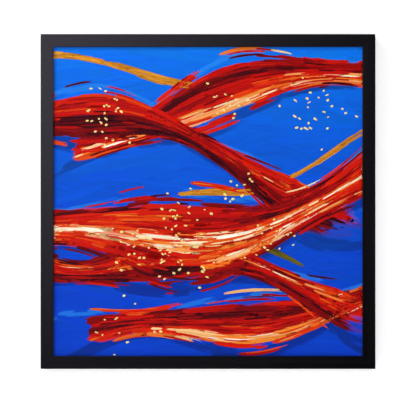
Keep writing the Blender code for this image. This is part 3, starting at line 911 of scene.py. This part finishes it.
class Film:
    """The paint: a film on a square grid and raised brush marks on top of it."""

    def __init__(self, rng):
        self.rng = rng
        self.axis = np.linspace(-FILM_HALF, FILM_HALF, FILM_POINTS)
        self.cell = self.axis[1] - self.axis[0]
        self.colour = np.repeat(blend_stops(BLUES, self.axis)[:, None, :], FILM_POINTS, axis=1)
        self.height = np.zeros((FILM_POINTS, FILM_POINTS))
        self.run = np.zeros((FILM_POINTS, FILM_POINTS, 3))
        self.number = np.zeros((FILM_POINTS, FILM_POINTS), dtype=int)
        self.strokes = 0
        self.stack = None
        self.marks = []

    def span(self, low, high):
        first = int(np.clip(np.floor((low + FILM_HALF) / self.cell), 0, FILM_POINTS))
        last = int(np.clip(np.ceil((high + FILM_HALF) / self.cell) + 1, 0, FILM_POINTS))
        return slice(first, last)

    def area(self, line, start, end, half, edge):
        """The grid under a brush mark: its part, and how far along and across the mark each point lies."""
        columns = self.span(start, end)
        x = self.axis[columns]
        if len(x) < 2:
            return None
        middle, cosine = line(x)
        rows = self.span(middle.min() - half * 1.6, middle.max() + half * 1.6)
        z = self.axis[rows][:, None]
        if len(z) < 2:
            return None
        along = (x - start) / (end - start)
        taper = np.clip(1 - np.abs(2 * along - 1) ** 5, 0.02, 1) ** 0.5
        reach = half * taper * (1 + np.interp(along, np.linspace(0, 1, len(edge)), edge))
        return (rows, columns), along, (z - middle) * cosine / reach, reach

    def stroke(self, line, start, end, half, colour, load, dry=0.5, wet=0.12):
        """One flat brush mark in the film along a line, from start to end in x."""
        rng = self.rng
        self.strokes += 1
        lanes = rng.uniform(0, 1, max(int(half / STROKE_LANE), 3))
        ends = rng.uniform(0.72, 1.0, len(lanes))
        found = self.area(line, start, end, half, rng.uniform(-0.12, 0.12, EDGE_KNOTS))
        if not found:
            return
        part, along, across, reach = found
        places = np.linspace(-1, 1, len(lanes))
        bristle = np.interp(across, places, lanes)
        stop = np.interp(across, places, ends)
        soft = np.clip(self.cell / reach, 0.02, 1.0)
        cover = np.clip((1 - np.abs(across)) / soft + 0.5, 0, 1)
        fade = np.clip((along - stop * (1 - 0.35 * dry)) / 0.12, 0, 1)
        cover = cover * (1 - fade * np.clip(dry * 1.6 * (1.15 - bristle), 0, 1))
        held = np.clip(cover, 0, 1)[..., None]
        tone = (1 + 0.16 * (bristle - 0.5))[..., None]
        old = self.colour[part]
        fresh = colour * tone * (1 - wet * bristle[..., None]) + old * wet * bristle[..., None]
        self.colour[part] = old * (1 - held) + fresh * held
        ridge = np.exp(-(((np.abs(across) - 0.86) / 0.16) ** 2))
        relief = load * (0.35 + 0.5 * bristle + 0.45 * ridge)
        was = self.height[part]
        self.height[part] = was * (1 - 0.7 * cover) + relief * cover
        taken = cover > 0.5
        run = np.broadcast_to(self.axis[part[1]] - start, taken.shape)
        seed = np.full(taken.shape, STROKE_SHIFT * self.strokes)
        fresh_run = np.stack((run + seed, across * reach, seed), axis=-1)
        self.run[part] = np.where(taken[..., None], fresh_run, self.run[part])
        self.number[part] = np.where(taken, self.strokes, self.number[part])

    def inside(self):
        """1 where a point and its neighbours belong to the same brush mark, else 0."""
        number = np.pad(self.number, 1, mode="edge")
        same = np.ones(self.number.shape, dtype=bool)
        for down in (0, 1, 2):
            for right in (0, 1, 2):
                near = number[down : down + FILM_POINTS, right : right + FILM_POINTS]
                same &= near == self.number
        return same.astype(float)

    def stack_at(self, x, z):
        """The height of the paint laid so far at these places."""
        top = FILM_POINTS - 1.001
        down, right = ((np.clip(v, -FILM_HALF, FILM_HALF) + FILM_HALF) / self.cell for v in (z, x))
        down, right = np.minimum(down, top), np.minimum(right, top)
        i, j = down.astype(int), right.astype(int)
        u, v = down - i, right - j
        near = self.stack[i, j] * (1 - v) + self.stack[i, j + 1] * v
        far = self.stack[i + 1, j] * (1 - v) + self.stack[i + 1, j + 1] * v
        return near * (1 - u) + far * u

    def mark(self, line, start, end, half, colours, load, dry=0.8):
        """A raised brush mark in two colours, whose bristles run dry one by one towards its end."""
        rng = self.rng
        self.strokes += 1
        # A mark that comes from under the lip or goes there has no end of its own
        opened, closed = start < -MARK_EDGE, end > MARK_EDGE
        start, end = max(start, -MARK_EDGE), min(end, MARK_EDGE)
        lanes = int(np.clip(2 * half / MARK_LANE, *MARK_LANES))
        stations = int(np.clip((end - start) / max(MARK_STATION, 0.6 * half), *MARK_STATIONS))
        bristle = rng.uniform(0, 1, lanes)
        first = rng.uniform(0, 0.05, lanes) * (not opened)
        last = 1 - rng.uniform(0, 0.16, lanes) * (not closed)
        edge = rng.uniform(-0.14, 0.14, EDGE_KNOTS)
        share = rng.uniform(0, 0.65, lanes)
        if end - start < MARK_SHORTEST:
            return
        even = np.linspace(0, 1, stations)
        t = (0.5 * even + 0.25 * (1 - np.cos(pi * even)))[:, None]
        x = start + (end - start) * (first + (last - first) * t)
        across = np.concatenate(([-1.0], np.linspace(-0.86, 0.86, lanes - 2), [1.0]))
        from_end = np.where(t < 0.5, (1 - 2 * t) * (not opened), (2 * t - 1) * (not closed))
        taper = np.clip(1 - from_end**6, 0.10, 1) ** 0.5
        offset = across * half * taper * (1 + np.interp(t, np.linspace(0, 1, EDGE_KNOTS), edge))
        slope = (line(x + HALF_STEP)[0] - line(x - HALF_STEP)[0]) / (2 * HALF_STEP)
        cosine = 1 / np.sqrt(1 + slope**2)
        z = line(x)[0] + cosine * offset
        x = x - slope * cosine * offset * (not (opened or closed))
        if np.abs(z).max() > MARK_EDGE or np.abs(x).max() > FILM_HALF:
            return
        ridge = np.exp(-(((np.abs(across) - 0.8) / 0.18) ** 2))
        blob = np.exp(-((t / 0.08) ** 2)) * (not opened)
        relief = load * (0.30 + 0.55 * bristle + 0.35 * ridge + 0.35 * blob)
        stop = 1 - 0.6 * dry * (1 - bristle) * (not closed)
        worn = np.clip((t - stop) / 0.12, 0, 1)
        rise = relief - (relief + MARK_SUNK) * worn
        rise[:, [0, -1]] = -MARK_SUNK
        rise[[0, -1], :] = -MARK_SUNK
        height = pressed(x, z, self.stack_at(x, z) + rise)
        verts = np.stack((x, CANVAS_FRONT - height, z + CENTRE_Z), axis=-1)
        mixed = colours[0] * (1 - share[:, None]) + colours[1] * share[:, None]
        shown = mixed * (1 + 0.24 * (bristle - 0.5))[:, None]
        colour = np.broadcast_to(shown, verts.shape)
        seed = STROKE_SHIFT * self.strokes
        run = np.stack((x - start + seed, offset, np.full(x.shape, seed)), axis=-1)
        self.marks.append((verts, colour, run))
        found = self.area(line, start, end, half, edge)
        if found:
            part, along, over, _ = found
            held = (np.abs(over) < 0.95) * (1 - 0.7 * dry * np.clip((along - 0.6) / 0.4, 0, 1))
            self.stack[part] += 0.5 * load * held


def pressed(x, z, height):
    """The height of the paint, kept low near and under the frame's lip."""
    reach = np.maximum(np.abs(x), np.abs(z))
    room = np.clip((SIGHT - FILM_CLEAR - reach) / FILM_SLOPE, 0, 1)
    limit = FILM_UNDER_LIP + room * FILM_LIMIT
    return limit * (1 - np.exp(-height / limit))


def straight(x0, z0, slope, bend=0.0):
    """A line through a place with a slope and a bend."""
    def line(x):
        run = x - x0
        tilt = slope + 2 * bend * run
        return z0 + slope * run + bend * run**2, 1 / np.sqrt(1 + tilt**2)

    return line


def jitter(rng, colour, amount):
    return np.clip(colour * (1 + rng.uniform(-amount, amount, 3)), 0, 1)


def lay_ground(film):
    """Broad blue marks all over, lighter above."""
    rng = film.rng
    for length, half, load, count in GROUND:
        for _ in range(count):
            x = rng.uniform(-FIELD_X, FIELD_X)
            z = rng.uniform(-FIELD_Z, FIELD_Z)
            run = length * rng.uniform(0.7, 1.3)
            hue = blend_stops(BLUES, z + rng.uniform(-0.02, 0.02))
            line = straight(x, z, rng.uniform(-0.35, 0.35), rng.uniform(-1.2, 1.2))
            film.stroke(line, x - run / 2, x + run / 2, half, jitter(rng, hue, 0.07), load * MM)


def band_colour(band, across, x, rng, shift=0.0):
    """Long strands of light and dark that run along the band and drift slowly across it."""
    drift = 0.5 * sin(2 * pi * x / 0.43 + 3 * band.phase)
    wide = 0.62 * sin(2.7 * across + 5 * band.phase + drift)
    narrow = 0.34 * sin(8.5 * across + 2 * band.phase - 2 * drift)
    tone = 0.03 + band.warmth + wide + narrow + shift + rng.normal(0, 0.15)
    return jitter(rng, blend_stops(GLOW, tone), 0.06)


def lay_shadow(film, band):
    """Dark blue under a band and a light line above it, which lift it off the ground."""
    rng = film.rng
    for _ in range(SHADOW_MARKS):
        x = rng.uniform(-FIELD_X, FIELD_X - 0.03)
        run = rng.uniform(0.04, 0.10)
        across = rng.uniform(-1.55, -1.0)
        hue = jitter(rng, pigment(*NAVY) * 0.6 + blend_stops(BLUES, band.height) * 0.4, 0.12)
        half = rng.uniform(3, 6) * MM
        film.stroke(line_of(band, across), x, x + run, half, hue, 0.14 * MM, 0.9, 0.35)
    for _ in range(LIGHT_MARKS):
        x = rng.uniform(-FIELD_X, FIELD_X - 0.03)
        run = rng.uniform(0.03, 0.08)
        hue = jitter(rng, pigment(*SKY) * 0.5 + blend_stops(BLUES, band.height) * 0.5, 0.08)
        line = line_of(band, rng.uniform(1.1, 1.4))
        film.stroke(line, x, x + run, rng.uniform(1.5, 3) * MM, hue, 0.16 * MM, 0.9, 0.3)


def along_band(band, rng, lanes, clear, runs, step):
    """Lane, start and length of marks that follow each other along a band."""
    for across in lanes:
        x = band.start + rng.uniform(0, 0.03)
        while x < band.end - clear:
            run = rng.uniform(*runs)
            yield across, x, run
            x += run * step


def lay_under(film, band):
    """The flat first layer of a band."""
    for across, x, run in along_band(band, film.rng, *UNDER):
        hue = band_colour(band, across, x + run / 2, film.rng)
        film.stroke(line_of(band, across), x, x + run, 0.36 * band.half, hue, 0.24 * MM, 0.9)


def band_mark(film, band, spread, runs, halves, loads, shifts, dry):
    """A raised mark somewhere on a band, in two colours picked there."""
    rng = film.rng
    across = float(np.clip(rng.normal(0, spread), -1.5, 1.5))
    run = rng.uniform(*runs)
    x = rng.uniform(band.start, band.end - run)
    shift = rng.choice(shifts)
    hues = [band_colour(band, across, x + run / 2, rng, shift) for _ in range(2)]
    half = rng.uniform(*halves) * MM
    film.mark(line_of(band, across), x, x + run, half, hues, rng.uniform(*loads) * MM, dry)


def lay_band(film, band):
    """The raised marks of a band in three goes: wide ones, shaping ones, thin lights and darks."""
    rng = film.rng
    for across, x, run in along_band(band, rng, *WIDE):
        hues = [band_colour(band, across, x + run / 2, rng) for _ in range(2)]
        line = line_of(band, across + rng.uniform(-0.12, 0.12))
        film.mark(line, x, x + run, 0.34 * band.half, hues, 0.30 * MM, 0.9)
    for count, *kind in (SHAPING, DETAIL):
        for _ in range(int(count * band.half)):
            band_mark(film, band, *kind)


def lay_ribbon(film, band, colour):
    """A narrow band of short marks."""
    rng = film.rng
    for _ in range(int(RIBBON_MARKS * (band.end - band.start))):
        run = rng.uniform(0.022, 0.06)
        x = rng.uniform(band.start, band.end - run)
        hues = [jitter(rng, pigment(*colour) * rng.uniform(0.55, 1.4), 0.1) for _ in range(2)]
        line = line_of(band, rng.uniform(-0.9, 0.9))
        film.mark(line, x, x + run, rng.uniform(1.2, 2.4) * MM, hues, 0.34 * MM)


def lay_spatter(film):
    """Small pale dabs in loose clusters."""
    rng = film.rng
    for _ in range(CLUSTERS):
        middle = rng.uniform(-0.2, 0.2, 2)
        for _ in range(rng.integers(8, 20)):
            x, z = middle + rng.normal(0, CLUSTER_SPREAD, 2)
            run = rng.uniform(3.2, 6.5) * MM
            half = rng.uniform(1.0, 1.9) * MM
            hues = [jitter(rng, pigment(*FLECK), 0.12) for _ in range(2)]
            line = straight(x, z, rng.uniform(-0.8, 0.8))
            film.mark(line, x - run / 2, x + run / 2, half, hues, 0.6 * MM, 0.1)


def painted_film():
    film = Film(np.random.default_rng(SEED))
    order = (BANDS[0], BANDS[4], BANDS[1], BANDS[3], BANDS[2])
    lay_ground(film)
    for band in BANDS:
        lay_shadow(film, band)
    for band in order:
        lay_under(film, band)
    film.stack = FILM_BASE + film.height
    for ribbon, colour in RIBBONS:
        lay_ribbon(film, ribbon, colour)
    for band in order:
        lay_band(film, band)
    lay_spatter(film)
    return film


def paint_mesh(name, verts, faces, colours, runs, inside):
    """A mesh of paint with what its material reads at each vertex."""
    mesh = bpy.data.meshes.new(name)
    mesh.from_pydata(verts.tolist(), [], faces)
    mesh.update()
    mesh.shade_smooth()
    opaque = np.concatenate((colours, np.ones((len(verts), 1))), axis=1)
    set_values(mesh, "paint", opaque, "FLOAT_COLOR", "color")
    set_values(mesh, "marks", runs)
    set_values(mesh, "grain", verts[:, [0, 2, 1]])
    set_values(mesh, "inside", inside, "FLOAT", "value")
    return mesh


def grid_faces(index, order):
    """Quads between the rows and columns of a grid of vertices."""
    corners = (index[:-1, :-1], index[:-1, 1:], index[1:, 1:], index[1:, :-1])
    return np.stack([corners[i] for i in order], axis=-1).reshape(-1, 4).tolist()


def strip_mesh(name, film, heights, normals, rows):
    """A closed piece of the film: its face on the grid, an edge all round and a flat back."""
    x, z = np.meshgrid(film.axis, film.axis[rows])
    top = np.stack((x, CANVAS_FRONT - heights[rows], z + CENTRE_Z), axis=-1).reshape(-1, 3)
    index = np.arange(len(top)).reshape(len(rows), FILM_POINTS)
    rim = np.concatenate((index[0, :-1], index[:-1, -1], index[-1, :0:-1], index[:0:-1, 0]))
    foot = top[rim].copy()
    foot[:, 1] = CANVAS_FRONT
    low = np.arange(len(rim)) + index.size
    sides = np.stack((rim, low, np.roll(low, -1), np.roll(rim, -1)), axis=-1)
    faces = grid_faces(index, (0, 1, 2, 3)) + sides.tolist() + [low[::-1].tolist()]
    verts = np.concatenate((top, foot))
    spare = np.zeros((len(rim), 3))
    colours = film.colour[rows].reshape(-1, 3)
    runs = np.concatenate((film.run[rows].reshape(-1, 3), spare))
    inside = np.concatenate((film.inside()[rows].ravel(), spare[:, 0]))
    mesh = paint_mesh(name, verts, faces, np.concatenate((colours, colours[rim])), runs, inside)
    thinness = np.clip(1 - heights[rows].ravel() / FILM_THIN, 0, 1)
    set_values(mesh, "thin", np.concatenate((thinness, spare[:, 0])), "FLOAT", "value")
    every = np.concatenate((normals[rows].reshape(-1, 3), np.tile((0.0, -1.0, 0.0), (len(rim), 1))))
    mesh.normals_split_custom_set_from_vertices(every.tolist())
    return mesh


def mark_faces(stations, lanes):
    """Faces of a closed mark on its grid of vertices: quads in front and slats behind."""
    index = np.arange(stations * lanes).reshape(stations, lanes)
    left, right = index[:, 0], index[:, -1]
    faces = grid_faces(index, (0, 3, 2, 1))
    faces.append([*index[0], right[1], left[1]])
    for i in range(1, stations - 2):
        faces.append([left[i], right[i], right[i + 1], left[i + 1]])
    faces.append([left[-2], right[-2], *index[-1][::-1]])
    return [[int(v) for v in face] for face in faces]


def marks_mesh(name, marks):
    """Brush marks in one mesh."""
    faces, count, shapes = [], 0, {}
    for places, _, _ in marks:
        shape = places.shape[:2]
        if shape not in shapes:
            shapes[shape] = mark_faces(*shape)
        faces += [[v + count for v in face] for face in shapes[shape]]
        count += shape[0] * shape[1]
    parts = [np.concatenate([part.reshape(-1, 3) for part in each]) for each in zip(*marks)]
    verts, colours, runs = parts
    return paint_mesh(name, verts, faces, colours, runs, np.ones(count))


def mark_groups(marks):
    """The marks in the order they were laid, in groups small enough for one mesh each."""
    groups, room = [], 0
    for mark in marks:
        stations, lanes = mark[0].shape[:2]
        triangles = 2 * (stations - 1) * lanes + 2 * lanes
        if triangles > room:
            groups.append([])
            room = MARK_TRIANGLES
        room -= triangles
        groups[-1].append(mark)
    return groups


def make_paint(material):
    film = painted_film()
    x, z = np.meshgrid(film.axis, film.axis)
    heights = pressed(x, z, FILM_BASE + film.height)
    rise_z, rise_x = np.gradient(heights, film.cell)
    normals = np.stack((-rise_x, -np.ones_like(rise_x), -rise_z), axis=-1)
    normals /= np.linalg.norm(normals, axis=-1, keepdims=True)
    middle = FILM_POINTS // 2
    pieces = []
    halves = (("paint_lower", 0, middle + 1), ("paint_upper", middle, FILM_POINTS))
    for name, first, stop in halves:
        mesh = strip_mesh(name, film, heights, normals, list(range(first, stop)))
        pieces.append(place(name, mesh, material, hard=False))
    for number, marks in enumerate(mark_groups(film.marks), 1):
        name = f"brush_marks_{number}"
        pieces.append(place(name, marks_mesh(name, marks), material, hard=False))
    return pieces


# Pads

def make_pads(material):
    for number in (1, 2):
        node = f"wall_pad_{number}"
        low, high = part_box(node)
        radius = (high.x - low.x) / 2
        soft = radius * PAD_SOFTNESS
        crown = arc((radius - soft, high.y - soft), soft, 0, 6)
        profile = [(0, low.y), (radius, low.y), *crown, (0, high.y)]
        middle = ((low.x + high.x) / 2, (low.z + high.z) / 2)
        mesh = turned_mesh(f"soft_pad_{number}", profile, PAD_STEPS, middle)
        place(mesh.name, mesh, material, node)


# Stage

def plane(name, corners, material):
    mesh = bpy.data.meshes.new(name)
    mesh.from_pydata(corners, [], [tuple(range(len(corners)))])
    mesh.materials.append(material)
    obj = add(name, mesh)
    return obj


def wall_material():
    """A white wall that lets light and sight through from behind, so that the back can be seen."""
    glow = {"Emission_Color": (*WHITE, 1.0), "Emission_Strength": WALL_LIFT}
    look = Surface("white_wall", Roughness=1.0, Specular_IOR_Level=0.0, **glow)
    mottle = look.noise(look.put("TexCoord").outputs["Object"], WALL_MOTTLE)
    look.finish(Base_Color=look.ramp(mottle, [(0, (0.90,) * 3), (1, (0.92,) * 3)]))
    facing = look.calc("SUBTRACT", 1.0, look.put("NewGeometry").outputs["Backfacing"])
    seen = look.times(facing, look.put("LightPath").outputs["Is Camera Ray"])
    clear = look.put("BsdfTransparent").outputs[0]
    blend = look.put("MixShader", {0: seen, 1: clear, 2: look.shader.outputs[0]})
    look.tree.links.new(blend.outputs[0], look.tree.nodes["Material Output"].inputs["Surface"])
    return look.material


def floor_material():
    glow = {"Emission_Color": (*WHITE, 1.0), "Emission_Strength": FLOOR_LIFT}
    look = Surface("pale_floor", Roughness=0.9, Specular_IOR_Level=0.1, **glow)
    mottle = look.noise(look.put("TexCoord").outputs["Object"], FLOOR_MOTTLE)
    return look.finish(Base_Color=look.ramp(mottle, [(0, (0.84,) * 3), (1, (0.87,) * 3)]))


def make_stage():
    low, wide, far = FLOOR_LEVEL, WALL_REACH, FLOOR_REACH
    corners = [(-wide, low), (wide, low), (wide, wide), (-wide, wide)]
    plane("wall", [(x, WALL_CLEAR, z) for x, z in corners], wall_material())
    corners = [(-far, -far, low), (far, -far, low), (far, far, low), (-far, far, low)]
    # Kept out of the frame's sheen, which is dark below in the photo
    plane("floor", corners, floor_material()).visible_glossy = False


def area_light(name, offset, size, power, tint, without):
    data = bpy.data.lights.new(name, "AREA")
    data.shape = "DISK"
    data.size = size
    data.energy = power
    data.color = tint
    lamp = add(name, data)
    target = Vector((0, 0, CENTRE_Z))
    lamp.location = target + Vector(offset)
    lamp.rotation_euler = (target - lamp.location).to_track_quat("-Z", "Y").to_euler()
    lamp.visible_camera = False
    lamp.visible_diffuse = without != "diffuse"
    lamp.visible_glossy = without != "glossy"


def make_world():
    """Pale light from the sides and from behind the wall, and little from behind the camera."""
    world = bpy.data.worlds.new("studio")
    bpy.context.scene.world = world
    world.use_nodes = True
    air = Nodes(world.node_tree)
    back = air.tree.nodes["Background"]
    back.inputs["Color"].default_value = AIR_TINT
    parts = air.put("SeparateXYZ", {0: air.put("TexCoord").outputs["Generated"]})
    share = air.put("MapRange", {"Value": parts.outputs["Y"], "From Min": -1.0})
    stops = [((depth + 1) / 2, (level / FILL_TOP,) * 3) for depth, level in FILL]
    full = air.calc("MULTIPLY", air.ramp(share.outputs[0], stops), FILL_TOP)
    seen = air.put("LightPath").outputs["Is Camera Ray"]
    strength = air.put("Mix", {0: seen, 2: full, 3: AIR_SEEN})
    air.tree.links.new(strength.outputs[0], back.inputs["Strength"])


def make_lights():
    make_world()
    for lamp in LAMPS:
        area_light(*lamp)


def make_camera():
    """Straight on, with the frame as wide in the picture as in the photo."""
    data = bpy.data.cameras.new("camera")
    camera = add("camera", data)
    camera.location = (0, FRAME_FRONT - CAMERA_DISTANCE, CENTRE_Z)
    camera.rotation_euler = (pi / 2, 0, 0)
    view_width = 2 * HALF * PHOTO_WIDTH / FRAME_PIXELS
    data.sensor_width = SENSOR
    data.lens = SENSOR * CAMERA_DISTANCE / view_width
    data.clip_start, data.clip_end = SIGHT_RANGE
    bpy.context.scene.camera = camera


def dress():
    zinc_plate = zinc()
    make_rails(black_paint())
    make_steel(zinc_plate, [CORNER_NAIL], range(1, 9))
    make_bars(bare_wood("bare_pine", *PINE))
    make_wedges(bare_wood("bare_beech", *BEECH))
    primed = cloth("primed_cotton", *PRIMED)
    raw = cloth("raw_cotton", *RAW)
    canvas = make_canvas(primed, raw)
    threads = make_threads(raw)
    paint_pieces = make_paint(paint())
    staples = make_steel(zinc_plate, [STAPLE], [f"{n:02d}" for n in range(1, 21)])
    make_steel(zinc_plate, [CLIP, CLIP_SCREW], range(1, 5))
    make_steel(zinc_plate, [HANGER], [""])
    make_steel(zinc_plate, [HANGER_PIN], (1, 2))
    make_pads(rubber())


dress()
make_stage()
make_lights()
make_camera()
bpy.context.scene.view_settings.view_transform = "Standard"
